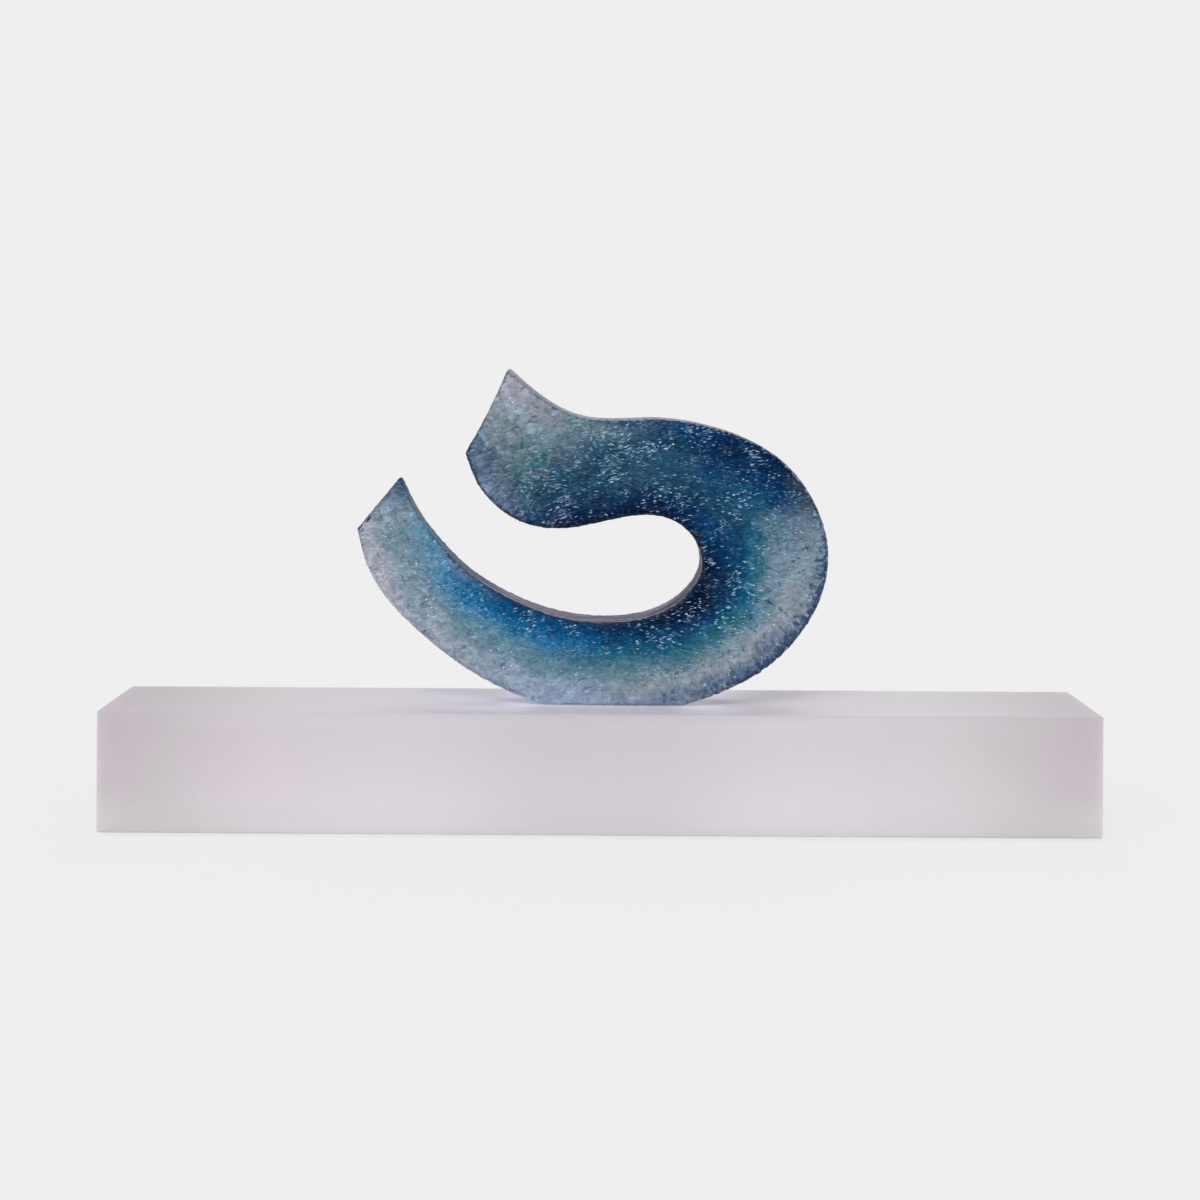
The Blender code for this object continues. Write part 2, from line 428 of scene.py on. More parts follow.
# %% The recipe: a rib, and which pigment lies at which percentage of the way across
RECIPE = (
    (0.0, "0 slate, 25 slate, 45 ash, 60 ash, 75 pearl, 88 lilac"),
    (1.3, "0 steel, 15 slate, 30 dusk, 55 dusk, 70 mist, 88 pewter, 100 ash"),
    (2.3, "0 navy, 12 teal, 45 teal, 62 dusk, 75 sage, 90 sage, 100 mist"),
    (3.3, "0 ink, 12 navy, 35 teal, 60 teal, 75 petrol, 88 dusk, 100 petrol"),
    (4.3, "0 ink, 15 navy, 40 petrol, 60 petrol, 75 teal, 90 marine, 100 teal"),
    (5.3, "0 ink, 15 navy, 40 teal, 60 marine, 75 navy, 100 navy"),
    (6.3, "0 ink, 18 marine, 35 teal, 50 lake, 60 lake, 75 marine, 90 navy, 100 ink"),
    (7.3, "0 ink, 15 navy, 30 marine, 40 reef, 48 lagoon, 58 mist, 100 mist"),
    (8.3, "0 ink, 18 ink, 32 marine, 45 reef, 53 lagoon, 63 foam, 74 ash, 100 dusk"),
    (9.3, "0 ink, 18 navy, 32 marine, 42 reef, 50 lagoon, 62 mist, 77 ash, 88 slate, 100 slate"),
    (10.3, "0 navy, 18 marine, 32 reef, 44 lagoon, 60 mist, 76 ash, 90 slate, 100 ash"),
    (11.3, "0 marine, 18 azure, 30 cerulean, 44 lagoon, 62 foam, 80 frost, 100 frost"),
    (12.3, "0 marine, 18 azure, 28 cerulean, 38 sea, 50 foam, 62 foam, 76 haze, 100 haze"),
    (13.3, "0 slate, 14 cerulean, 30 cerulean, 42 sea, 56 foam, 75 haze, 100 pearl"),
    (13.8, "0 slate, 12 sea, 35 sea, 56 mist, 78 haze, 100 pearl"),
    (14.3, "0 sea, 15 sea, 50 mist, 62 mist, 80 haze, 90 lilac, 100 lilac"),
    (15.3, "0 mist, 10 mist, 60 mist, 72 pearl, 90 lilac, 100 lilac"),
    (16.0, "0 marine, 12 teal, 25 slate, 50 haze, 100 lilac"),
)

# %% Blooms of sea green: rib, share across, radius in millimetres, strength
BLOOMS = (
    (0.8, 0.45, 12, 0.6),
    (1.6, 0.5, 16, 0.9),
    (1.9, 0.28, 10, 0.5),
    (7.9, 0.42, 9, 0.45),
    (8.8, 0.45, 10, 0.55),
    (9.7, 0.5, 12, 0.5),
    (10.7, 0.5, 12, 0.35),
    (12.9, 0.5, 9, 0.3),
    (14.9, 0.3, 7, 0.5),
    (15.2, 0.45, 8, 0.5),
)

# %% How the recipe is read and blended


def linear(values):
    """Eight-bit picker values as the linear light that shaders use."""
    share = np.array(values, float) / 255
    return np.where(share <= 0.04045, share / 12.92, ((share + 0.055) / 1.055) ** 2.4)


def mixed_across(row, share_across):
    """The colour that one row of the recipe gives at each share of the way across."""
    stops = [stop.split() for stop in row.split(",")]
    shares = [int(percent) / 100 for percent, _ in stops]
    mixes = np.array([linear(PIGMENTS[name]) for _, name in stops])
    return np.stack([np.interp(share_across, shares, mixes[:, c]) for c in range(3)], axis=1)


def poured_colour(rib_number, share_across):
    """The blended pigment at each place, as linear red, green and blue."""
    ribs = np.array([entry[0] for entry in RECIPE])
    bands = np.array([mixed_across(row, share_across) for _, row in RECIPE])
    before = np.clip(np.searchsorted(ribs, rib_number, side="right") - 1, 0, len(ribs) - 2)
    share = np.clip((rib_number - ribs[before]) / (ribs[before + 1] - ribs[before]), 0, 1)
    share = share[:, None]
    which = np.arange(len(rib_number))
    return bands[before, which] * (1 - share) + bands[before + 1, which] * share


def place_on_curl(rib_number, share_across):
    i = round(rib_number * STEPS_PER_RIB)
    return inner_edge[i] * (1 - share_across) + outer_edge[i] * share_across


# %% Pour the tints over the skin
# Each flow's reach across the curl, its size in millimetres and its seed.
FLOWS = ((0.06, 16, 61), (0.05, 6.5, 67), (0.035, 2.6, 69))
FLOW_ALONG = 0.3
DRIFT = 7

flow_across = across
for reach, size, seed in FLOWS:
    flow_across = flow_across + reach * wander(local, size, seed)
flow_rib = rib + FLOW_ALONG * wander(local, 20, 71)
pigment = poured_colour(np.clip(flow_rib, 0, LAST_RIB), np.clip(flow_across, 0, 1))
drift = np.stack((wander(local, 9, 91), wander(local, 9, 97)), axis=1) * DRIFT
bloom = np.zeros(len(local))
for bloom_rib, bloom_across, radius, strength in BLOOMS:
    gap = np.linalg.norm(places + drift - place_on_curl(bloom_rib, bloom_across), axis=1)
    bloom = np.maximum(bloom, strength * np.exp(-((gap / radius) ** 2)))
print("mean pigment", np.round(pigment.mean(axis=0), 3))
print("share of the skin in bloom", round(float(bloom.mean()), 3))

# %% [markdown]
# ## Layers for the material
#
# A material can't measure how far along the curl it is, but it can read numbers that are
# stored on the skin's points. So what was worked out above is stored there, with a few masks:
# where the rim gets a painted highlight, or is thin enough to let light through, where painted
# shade gathers along the rim, where the cuts are, and how strong the strokes are along the curl.

# %% Store the measures
# What one, three or four numbers for each point are stored as.
KINDS = {1: ("FLOAT", "value"), 3: ("FLOAT_VECTOR", "vector"), 4: ("FLOAT_COLOR", "color")}


def store(name, values):
    """Stores a number, a place or a colour for each point of the skin."""
    kind, field = KINDS[np.size(values) // len(local)]
    layer = curl.data.attributes.new(name, kind, "POINT")
    layer.data.foreach_set(field, np.asarray(values, np.float32).ravel())


opaque = np.ones((len(pigment), 1))
store("pigment", np.concatenate((pigment, opaque), axis=1))
store("crest", np.clip(crest / 4 + 0.5, 0, 1))
store("broad_face", face)
store("teeth", teeth)
store("bloom", bloom)
store("side_depth", side_depth)
store("tooth_place", tooth_places)
# The foot's edge gets no rim lines, so its gap is kept wide.
FOOT_EDGE = 4
WIDE_GAP = 9.0
store("rim_gap", np.where(local[:, 2] < FOOT_EDGE, WIDE_GAP, rim))

# %% Store masks for the rims and the ends
# Where the outer rim gets a painted highlight line.
rim_highlight_mask = (1 - smoothstep(1.5, 4.0, outer_gap)) * (1 - smoothstep(10.4, 11.0, rib))
# Where painted shade gathers along the rim: the outer rim of the bend, and the inner edge at the upper
# end.
rim_shade = window(rib, (6.6, 7.4), (9.7, 10.5)) * (outer_gap < inner_gap)
rim_shade = rim_shade + 0.6 * (1 - smoothstep(0.3, 1.2, rib)) * near_inner
lit_edge = window(rib, (10.4, 11.4), (15.2, 15.7)) * (1 - smoothstep(0.6, 2.2, outer_gap))
store("rim_highlight_mask", rim_highlight_mask)
store("rim_shade_bank", rim_shade)
store("lit_rim", lit_edge)
store("tip", smoothstep(12.0, 14.0, rib))
store("cut_end", 1 - smoothstep(1.5, 6.0, np.minimum(tip_gap, cut_gap)))

# %% Store how strong the strokes are, at some ribs and evenly between them
STRENGTHS = {
    "end_light_strokes": ((2.2, 3.4, 12.5, 14.0), (1.0, 0.0, 0.0, 0.7)),
    "highlight_veil": ((1.2, 2.8, 4.2, 5.4, 10.0, 12.0), (0.75, 1.0, 1.0, 0.7, 0.6, 0.45)),
    "sparkle": ((0.6, 2.2, 3.0), (0.4, 0.8, 1.0)),
}
for name, (at_ribs, strengths) in STRENGTHS.items():
    store(name, np.interp(rib, at_ribs, strengths))
curl.data.shade_smooth()
print("the skin carries", ", ".join(sorted(layer.name for layer in curl.data.attributes)))

# %% [markdown]
# ## A few helpers for node trees
#
# Materials here are node trees written in code. One helper adds a node and feeds its inputs,
# with numbers or with other nodes' outputs. The others are the few sums that every tree
# needs, so that the trees below read like recipes.

# %% Add nodes


def connect(tree, node, feeds):
    """Feeds inputs, by name or number, with plain values or with other nodes' outputs."""
    for key, value in dict(feeds).items():
        if isinstance(value, bpy.types.NodeSocket):
            tree.links.new(value, node.inputs[key])
        else:
            node.inputs[key].default_value = value


def add(tree, kind, feeds=(), **settings):
    made = tree.nodes.new(kind)
    for name, value in settings.items():
        setattr(made, name, value)
    connect(tree, made, feeds)
    return made


def attribute(tree, name, output="Fac"):
    """What is stored on the skin under that name."""
    return add(tree, "ShaderNodeAttribute", attribute_name=name).outputs[output]


def new_material(name):
    made = bpy.data.materials.new(name)
    made.use_nodes = True
    return made, made.node_tree, made.node_tree.nodes["Principled BSDF"]


# %% Sums on numbers


def calculate(tree, operation, *values):
    """Takes two or more numbers together, from left to right."""
    total = values[0]
    for value in values[1:]:
        total = add(tree, "ShaderNodeMath", {0: total, 1: value}, operation=operation).outputs[0]
    return total


def times(tree, *factors):
    return calculate(tree, "MULTIPLY", *factors)


def plus(tree, *terms):
    return calculate(tree, "ADD", *terms)


def minus(tree, first, second):
    return calculate(tree, "SUBTRACT", first, second)


def unsigned(tree, value):
    return add(tree, "ShaderNodeMath", {0: value}, operation="ABSOLUTE").outputs[0]


def between(tree, share, first, second):
    """A number that share of the way from the first to the second."""
    return add(tree, "ShaderNodeMix", {0: share, 2: first, 3: second}).outputs[0]


def ease(tree, value, low, high, start=0.0, end=1.0):
    """A soft step of value, from start below low to end above high."""
    feeds = {"Value": value, "From Min": low, "From Max": high, "To Min": start, "To Max": end}
    made = add(tree, "ShaderNodeMapRange", feeds, interpolation_type="SMOOTHSTEP")
    return made.outputs["Result"]


# %% Sums on places, and noise
MIDDLE_GREY = (0.5, 0.5, 0.5)


def vectors(tree, operation, first, second):
    return add(tree, "ShaderNodeVectorMath", {0: first, 1: second}, operation=operation).outputs[0]


def scaled(tree, vector, factor):
    feeds = {0: vector, "Scale": factor}
    return add(tree, "ShaderNodeVectorMath", feeds, operation="SCALE").outputs[0]


def length_of(tree, vector):
    return add(tree, "ShaderNodeVectorMath", {0: vector}, operation="LENGTH").outputs["Value"]


def soft_noise(tree, where, scale, detail, **more):
    feeds = {"Vector": where, "Scale": scale, "Detail": detail, **more}
    return add(tree, "ShaderNodeTexNoise", feeds)


def drawn_noise(tree, where, scales, detail=2.0, **more):
    """Noise whose features are drawn out: scales are features per millimetre along each axis."""
    squeezed = vectors(tree, "MULTIPLY", where, scales)
    return soft_noise(tree, squeezed, 1.0, detail, **more).outputs["Fac"]


def pushed(tree, where, by, reach):
    """The place, pushed about by a noise's colour, at most half the reach each way."""
    push = vectors(tree, "SUBTRACT", by.outputs["Color"], MIDDLE_GREY)
    return vectors(tree, "ADD", where, scaled(tree, push, reach))


def bumped(tree, height, strength, depth):
    """How a surface faces once the height has roughened it. The depth is in metres."""
    feeds = {"Height": height, "Strength": strength, "Distance": depth}
    return add(tree, "ShaderNodeBump", feeds).outputs["Normal"]


def place_in_mm(tree):
    """Object coordinates in millimetres, which do not slide when the camera moves."""
    return scaled(tree, add(tree, "ShaderNodeTexCoord").outputs["Object"], 1 / MM)


# %% Blend colours, given as outputs or as three picker values
BLACK = (0, 0, 0)


def picked(values):
    """A colour socket's value from eight-bit picker values."""
    return (*linear(values), 1.0)


def blend(tree, share, first, second, how="MIX"):
    colours = [picked(colour) if isinstance(colour, tuple) else colour for colour in (first, second)]
    feeds = {0: share, 6: colours[0], 7: colours[1]}
    return add(tree, "ShaderNodeMix", feeds, data_type="RGBA", blend_type=how).outputs[2]


# %% A group with named inputs and outputs


def new_group(name, inputs, outputs):
    """An empty shader group. An input without a number as its default is a vector."""
    made = bpy.data.node_groups.new(name, "ShaderNodeTree")
    for label, default in inputs.items():
        kind = "NodeSocketVector" if default is None else "NodeSocketFloat"
        socket = made.interface.new_socket(label, in_out="INPUT", socket_type=kind)
        if default is not None:
            socket.default_value = default
    for label in outputs:
        made.interface.new_socket(label, in_out="OUTPUT", socket_type="NodeSocketFloat")
    return made, made.nodes.new("NodeGroupInput").outputs, made.nodes.new("NodeGroupOutput")


def use_group(tree, group, feeds):
    made = tree.nodes.new("ShaderNodeGroup")
    made.node_tree = group
    connect(tree, made, feeds)
    return made


# %% [markdown]
# ## Dashes, a shared effect
#
# The wavelets catch the light as short curved dashes, and in the clear resin the same dashes
# show dark, as slits. Ridged noise would draw them as closed loops. Cells do better: in a
# space squeezed along the dash, each cell's round core becomes one long dash, a lot drawn by
# the cell says whether it shows and how strongly, and a little noise bends it.

# %% Dash group: cells in a turned, bent and squeezed space
DASH_DEPTH = 5.0
dashes, feed, result = new_group(
    "dashes",
    {"Place": None, "Length": 6.0, "Width": 1.5, "Share": 0.5, "Curl": 6.0, "Tilt": 0.0, "Rarity": 1.0},
    ("Mask", "Height"),
)
turn = {"Vector": feed["Place"], "Axis": (0.0, 1.0, 0.0), "Angle": feed["Tilt"]}
turned = add(dashes, "ShaderNodeVectorRotate", turn).outputs[0]
bent = pushed(dashes, turned, soft_noise(dashes, turned, 0.18, 3.0, Roughness=0.62), feed["Curl"])
size = add(dashes, "ShaderNodeCombineXYZ", {"X": feed["Length"], "Y": DASH_DEPTH, "Z": feed["Width"]})
squeezed = vectors(dashes, "DIVIDE", bent, size.outputs[0])
cells = add(dashes, "ShaderNodeTexVoronoi", {"Vector": squeezed, "Scale": 1.0, "Randomness": 1.0})
core = ease(dashes, cells.outputs["Distance"], 0.46, 0.16)

# %% Dash group: a lot for each cell, and more dashes in some patches than in others
lot = add(dashes, "ShaderNodeSeparateColor", {0: cells.outputs["Color"]})
patch = soft_noise(dashes, feed["Place"], 0.09, 2.0)
chance = times(dashes, feed["Share"], ease(dashes, patch.outputs["Fac"], 0.35, 0.65, 0.55, 1.35))
missing = minus(dashes, 1.0, chance)
shows = ease(dashes, lot.outputs["Red"], missing, plus(dashes, missing, 0.04))
strength = calculate(dashes, "POWER", lot.outputs["Green"], feed["Rarity"])
mask = times(dashes, core, shows, strength)
connect(dashes, result, {"Mask": mask, "Height": minus(dashes, 1.0, cells.outputs["Distance"])})


def strokes(tree, where, length, width, share, curl, tilt=0.0, rarity=1.0):
    """A mask of dashes. Lengths are in millimetres, and the tilt is in radians."""
    settings = {"Length": length, "Width": width, "Share": share}
    settings.update({"Curl": curl, "Tilt": tilt, "Rarity": rarity})
    return use_group(tree, dashes, {"Place": where, **settings}).outputs["Mask"]


print("the dash group has", len(dashes.nodes), "nodes")

# %% [markdown]
# ## Grain, a shared effect
#
# The frosted block, the ground sides of the curl and the pads all have a fine, even tooth
# that dulls their shine. A small group makes it: a tiny noise as height, and a slower one
# that changes the roughness a little from place to place.

# %% Grain group
grain, feed, result = new_group(
    "grain",
    {"Place": None, "Size": 0.5, "Roughness": 0.4, "Variation": 0.1},
    ("Height", "Roughness"),
)
tooth = soft_noise(grain, feed["Place"], calculate(grain, "DIVIDE", 1.0, feed["Size"]), 2.0)
cloud = soft_noise(grain, feed["Place"], 0.05, 3.0)
swing = times(grain, minus(grain, cloud.outputs["Fac"], 0.5), feed["Variation"])
dulled = plus(grain, feed["Roughness"], swing)
connect(grain, result, {"Height": tooth.outputs["Fac"], "Roughness": dulled})
print("the grain group has", len(grain.nodes), "nodes")

# %% [markdown]
# ## The resin
#
# The pigment comes from the skin's own colour layer. Over it lie a slow marbling with painted
# light and shade of its wavelets, blotches of painted shade and dark slits near the rim, soft
# strokes of painted light and shade in the clear resin, a veil of painted highlights in pale
# dashes, bright painted glints and a few bubbles drawn as their glints. Real transparency would
# show the floor and lamps through the curl, but the casting is too full of ripples to see
# through, so an opaque body under a gloss coat looks right and stays the same from every side.

# %% Cast resin material, and what it reads from the skin
resin, tree, body = new_material("cast_resin")
place = place_in_mm(tree)
broad = attribute(tree, "broad_face")
teeth_mask = attribute(tree, "teeth")
bloom_mask = attribute(tree, "bloom")
sparkle = attribute(tree, "sparkle")
cut_end = attribute(tree, "cut_end")
poured = attribute(tree, "pigment", "Color")
tooth_place = attribute(tree, "tooth_place", "Vector")
glow = add(tree, "ShaderNodeSeparateColor", {0: poured}).outputs["Green"]
clear = ease(tree, glow, 0.08, 0.28)
clear_face = times(tree, clear, broad)

# %% Marbling: clouds and wavelets that the flow has curled
# Each eddy's features per millimetre, and how far it pushes.
EDDIES = ((0.04, 26.0), (0.12, 13.0), (0.34, 4.5))
flowed = place
for scale, reach in EDDIES:
    flowed = pushed(tree, flowed, soft_noise(tree, place, scale, 1.0), reach)
cloud = drawn_noise(tree, flowed, (0.09, 0.2, 0.2))
wavelet = drawn_noise(tree, flowed, (0.24, 0.3, 0.66), 1.5)
tooth_wavelet = drawn_noise(tree, tooth_place, (0.34, 0.2, 0.09), 2.0, Distortion=0.5)
wavelet = between(tree, teeth_mask, wavelet, tooth_wavelet)

# %% Painted light and shade of the wavelets and crests, with the clouds' own tone, most in the dark tints
SWING = (0.82, 1.18)
SEA_GREEN = (40, 100, 94)
HOLLOW_SHADE = (176, 214, 232)
CREST_HIGHLIGHT = (72, 58, 56)

swing = ease(tree, wavelet, 0.3, 0.7, *SWING)
swing = times(tree, swing, ease(tree, attribute(tree, "crest"), 0.25, 0.75, 0.88, 1.12))
swing = between(tree, times(tree, clear, 0.8), swing, 1.0)
swing = times(tree, swing, ease(tree, cloud, 0.3, 0.7, *SWING))
thread = ease(tree, drawn_noise(tree, flowed, (0.16, 0.2, 0.34), 3.0), 0.4, 0.62)
tint = blend(tree, times(tree, bloom_mask, thread), poured, SEA_GREEN)
tint = add(tree, "ShaderNodeHueSaturation", {"Color": tint, "Value": swing}).outputs[0]
# Painted shade in the wavelets' hollows, and a painted highlight on their crests in the clear resin.
hollow_shade = times(tree, ease(tree, wavelet, 0.52, 0.3, 0.0, 0.6), ease(tree, clear, 0.0, 1.0, 1.0, 0.5))
crest_highlight = times(tree, ease(tree, wavelet, 0.5, 0.68, 0.0, 0.3), clear)
tint = blend(tree, hollow_shade, tint, HOLLOW_SHADE, "MULTIPLY")
tint = blend(tree, crest_highlight, tint, CREST_HIGHLIGHT, "SCREEN")

# %% Painted shade in blotches along the rim, and dark slits beyond them
RIM_SHADE_BLOTCH = (50, 66, 98)
SLIT = (34, 72, 106)

rim_shade_bank = attribute(tree, "rim_shade_bank")
depth = add(tree, "ShaderNodeSeparateXYZ", {0: tooth_place}).outputs["Z"]
at_rim = times(tree, ease(tree, depth, 10.0, 0.5, 0.0, 0.19), rim_shade_bank)
rim_shade_blotch = drawn_noise(tree, tooth_place, (0.3, 0.2, 0.17), 4.0, Distortion=0.6)
rim_shade_blotch = ease(tree, plus(tree, rim_shade_blotch, at_rim), 0.57, 0.68, 0.0, 0.9)
tint = blend(tree, times(tree, rim_shade_blotch, rim_shade_bank), tint, RIM_SHADE_BLOTCH)
slits = strokes(tree, tooth_place, length=2.6, width=13.0, share=0.3, curl=1.8, tilt=0.2, rarity=0.4)
cracks = strokes(tree, place, length=1.9, width=8.0, share=0.12, curl=3.0, tilt=0.35, rarity=1.2)
slit = times(tree, between(tree, teeth_mask, cracks, slits), clear_face)
tint = blend(tree, times(tree, slit, 0.85), tint, SLIT)

# %% [markdown]
# ### Strokes of light
#
# Each wavelet catches the light on its crest, and that light is painted into the colour. Most
# show as a veil of thin pale strokes in three directions, with a stroke of painted shade just
# under one of them, and a few as sharp bright glints. Where the teeth are, both follow the
# teeth instead. In the clear resin and near both ends the light is softer, in longer strokes.
# All are dashes of different sizes, drawn in a space that a slow swirl has bent.

# %% The space that the strokes are drawn in, and the painted glints
SWIRL_REACH = 10.0
swirled = pushed(tree, place, soft_noise(tree, place, 0.045, 1.0), SWIRL_REACH)
bright = strokes(tree, swirled, length=3.5, width=0.58, share=0.6, curl=4.2, tilt=0.1, rarity=2.2)
tooth_glint = strokes(tree, tooth_place, length=0.9, width=3.2, share=0.3, curl=2.6, rarity=1.8)
glint = between(tree, teeth_mask, bright, tooth_glint)
glint = times(tree, glint, ease(tree, glow, 0.08, 0.3, 1.0, 0.45), broad, sparkle)

# %% The veil of painted highlights on the wavelets' crests, in three directions
# Length, width and tilt.
HIGHLIGHT_VEILS = ((4.6, 1.05, -0.25), (4.0, 1.0, 0.45), (5.2, 1.15, 0.05))
layers = [strokes(tree, swirled, length, width, 0.58, 2.8, tilt) for length, width, tilt in HIGHLIGHT_VEILS]
tooth_highlight_veil = strokes(tree, tooth_place, length=1.8, width=6.5, share=0.8, curl=3.0, tilt=0.15)
highlight_veil = between(tree, teeth_mask, calculate(tree, "MAXIMUM", *layers), tooth_highlight_veil)
highlight_veil = calculate(tree, "POWER", highlight_veil, 1.3)
highlight_veil_along = attribute(tree, "highlight_veil")
highlight_veil_share = between(tree, clear, highlight_veil_along, ease(tree, sparkle, 1.0, 0.4, 0.25, 0.6))
highlight_veil = times(tree, highlight_veil, broad, ease(tree, glow, 0.004, 0.035, 0.35, 1.0), highlight_veil_share)

# %% Painted shade: darker strokes under the first of them
SHADED = (90, 116, 140)
below = vectors(tree, "ADD", swirled, (0.2, 0.0, 0.8))
shade = strokes(tree, below, length=4.6, width=1.05, share=0.72, curl=2.8, tilt=-0.25)
shade = times(tree, shade, broad, ease(tree, clear, 0.0, 1.0, 1.0, 0.35), 0.5)
tint = blend(tree, shade, tint, SHADED, "MULTIPLY")

# %% Soft strokes of painted highlight and painted shade in the clear resin, and near both ends
stroked = calculate(tree, "MAXIMUM", clear, bloom_mask)
end_light_strokes = attribute(tree, "end_light_strokes")
# Length, width, share, tilt, where they lie, how they blend and their colour.
SOFT_LIGHT_STROKES = (
    (13.0, 3.4, 0.6, 0.2, stroked, "SCREEN", (102, 99, 104)),
    (9.0, 2.2, 0.5, -0.45, stroked, "SCREEN", (106, 104, 108)),
    (11.0, 2.8, 0.5, 0.6, stroked, "MULTIPLY", (170, 194, 210)),
    (8.0, 1.3, 0.8, 0.45, end_light_strokes, "SCREEN", (104, 102, 104)),
    (6.5, 1.2, 0.7, -0.1, end_light_strokes, "SCREEN", (100, 100, 104)),
    (7.0, 1.5, 0.8, 0.3, end_light_strokes, "MULTIPLY", (128, 160, 184)),
)
for length, width, share, tilt, region, how, colour in SOFT_LIGHT_STROKES:
    stroke = strokes(tree, swirled, length, width, share, 6.0, tilt)
    tint = blend(tree, times(tree, stroke, region, broad), tint, colour, how)

# %% Paint the highlight veil, the glints and the bubbles' glints into the colour
BLUE_HIGHLIGHT = (66, 128, 166)
SMOKY_HIGHLIGHT = (104, 132, 152)
CLEAR_HIGHLIGHT = (132, 140, 154)
GLINT = (192, 218, 244)
BUBBLE_GLINT = (222, 226, 234)

highlight_veil_colour = blend(tree, ease(tree, highlight_veil_along, 0.7, 1.0), BLUE_HIGHLIGHT, SMOKY_HIGHLIGHT)
highlight_veil_colour = blend(tree, clear, highlight_veil_colour, CLEAR_HIGHLIGHT)
tint = blend(tree, times(tree, highlight_veil, 0.9), tint, highlight_veil_colour, "SCREEN")
# Painted glints, which also get a real gloss coat below.
tint = blend(tree, glint, tint, GLINT)
# Small bubbles in the resin, drawn only as their painted glints.
bubble_glints = strokes(tree, place, length=1.6, width=1.3, share=0.07, curl=1.0, rarity=0.5)
tint = blend(tree, times(tree, bubble_glints, clear_face), tint, BUBBLE_GLINT)

# %% Dark specks along the two cuts
SPECK = (34, 58, 104)
specks = strokes(tree, place, length=7.0, width=3.0, share=0.8, curl=2.5, tilt=0.95, rarity=0.4)
tint = blend(tree, times(tree, specks, cut_end, broad), tint, SPECK)
print("with its strokes the resin tree has", len(tree.nodes), "nodes")

# %% [markdown]
# ### Ground sides and rims
#
# The sides are a matte mauve grey, because the grinding scatters the light before it reaches
# the tint. Grinding leaves long streaks along the curl, and pale flakes and dark nicks where
# the side meets the broad face. The rims are drawn by a broken line of painted shade, and a
# painted highlight line on the outer edge of the upper arm and the bend. The thin lower rim
# lets light through, so it gets a paler painted tint and a faint painted glow.

# %% Ground sides, calmer on the two cuts
STREAK_DARK = (72, 72, 98)
STREAK_PALE = (148, 144, 158)
LIT_THIN_RIM = (164, 170, 200)
# Flakes and nicks: their noise's scales and steps, how far in they lie, and their colour.
MARKS = (
    ((0.25, 0.3, 0.3), (0.46, 0.6), (9.0, 3.0), (162, 162, 178)),
    ((0.3, 0.25, 0.3), (0.52, 0.62), (5.0, 2.0), (44, 46, 72)),
)

side = attribute(tree, "side_depth")
lit_rim = attribute(tree, "lit_rim")
streaks = ease(tree, drawn_noise(tree, tooth_place, (0.022, 0.15, 0.2), 4.0), 0.42, 0.58)
streaks = between(tree, times(tree, cut_end, 0.75), streaks, 0.75)
ground_tint = blend(tree, streaks, STREAK_DARK, STREAK_PALE)
for scales, step, reach, colour in MARKS:
    marks = ease(tree, drawn_noise(tree, tooth_place, scales), *step)
    marks = times(tree, marks, ease(tree, side, *reach))
    ground_tint = blend(tree, marks, ground_tint, colour)
# The thin lower rim's paler tint is painted light that comes through it.
ground_tint = blend(tree, times(tree, lit_rim, 0.75), ground_tint, LIT_THIN_RIM)

# %% The tint runs a little way over the edge, further at the tip
tip = attribute(tree, "tip")
line_gap = attribute(tree, "rim_gap")
overrun = ease(tree, drawn_noise(tree, tooth_place, (0.22, 0.1, 0.2), 3.0), 0.35, 0.65, 0.2, 3.2)
ground = ease(tree, minus(tree, side, overrun), -0.4, 0.4)
ground = times(tree, ground, minus(tree, 1.0, broad), ease(tree, line_gap, WIDE_GAP, WIDE_GAP - 1))
tinted = blend(tree, ease(tree, tip, 0.0, 1.0, 0.22, 0.7), ground_tint, poured)
tint = blend(tree, ground, tint, tinted)

# %% Broken lines round the rim: painted shade inside, a painted highlight on the outer edge itself
RIM_SHADE_LINE = (38, 48, 78)
RIM_HIGHLIGHT_LINE = (146, 148, 166)

ragged = drawn_noise(tree, place, (0.4, 0.4, 0.4), 3.0)
ragged_gap = plus(tree, line_gap, ease(tree, ragged, 0.3, 0.7, 1.2, -0.8))
rim_shade_line = times(
    tree,
    ease(tree, ragged_gap, 2.0, 1.1, 0.0, 0.75),
    broad,
    ease(tree, glow, 0.2, 0.3, 1.0, 0.7),
    ease(tree, tip, 0.0, 1.0, 1.0, 0.5),
    ease(tree, lit_rim, 0.0, 1.0, 1.0, 0.35),
)
tint = blend(tree, rim_shade_line, tint, RIM_SHADE_LINE)
rim_highlight_line = times(tree, ease(tree, line_gap, 1.1, 0.5), attribute(tree, "rim_highlight_mask"))
rim_highlight_line = times(tree, rim_highlight_line, ease(tree, ragged, 0.4, 0.55, 0.2, 0.8))
tint = blend(tree, rim_highlight_line, tint, RIM_HIGHLIGHT_LINE)

# %% Feed the resin's shader
GLOSS = 0.32
RIM_LIGHT = (128, 138, 178)

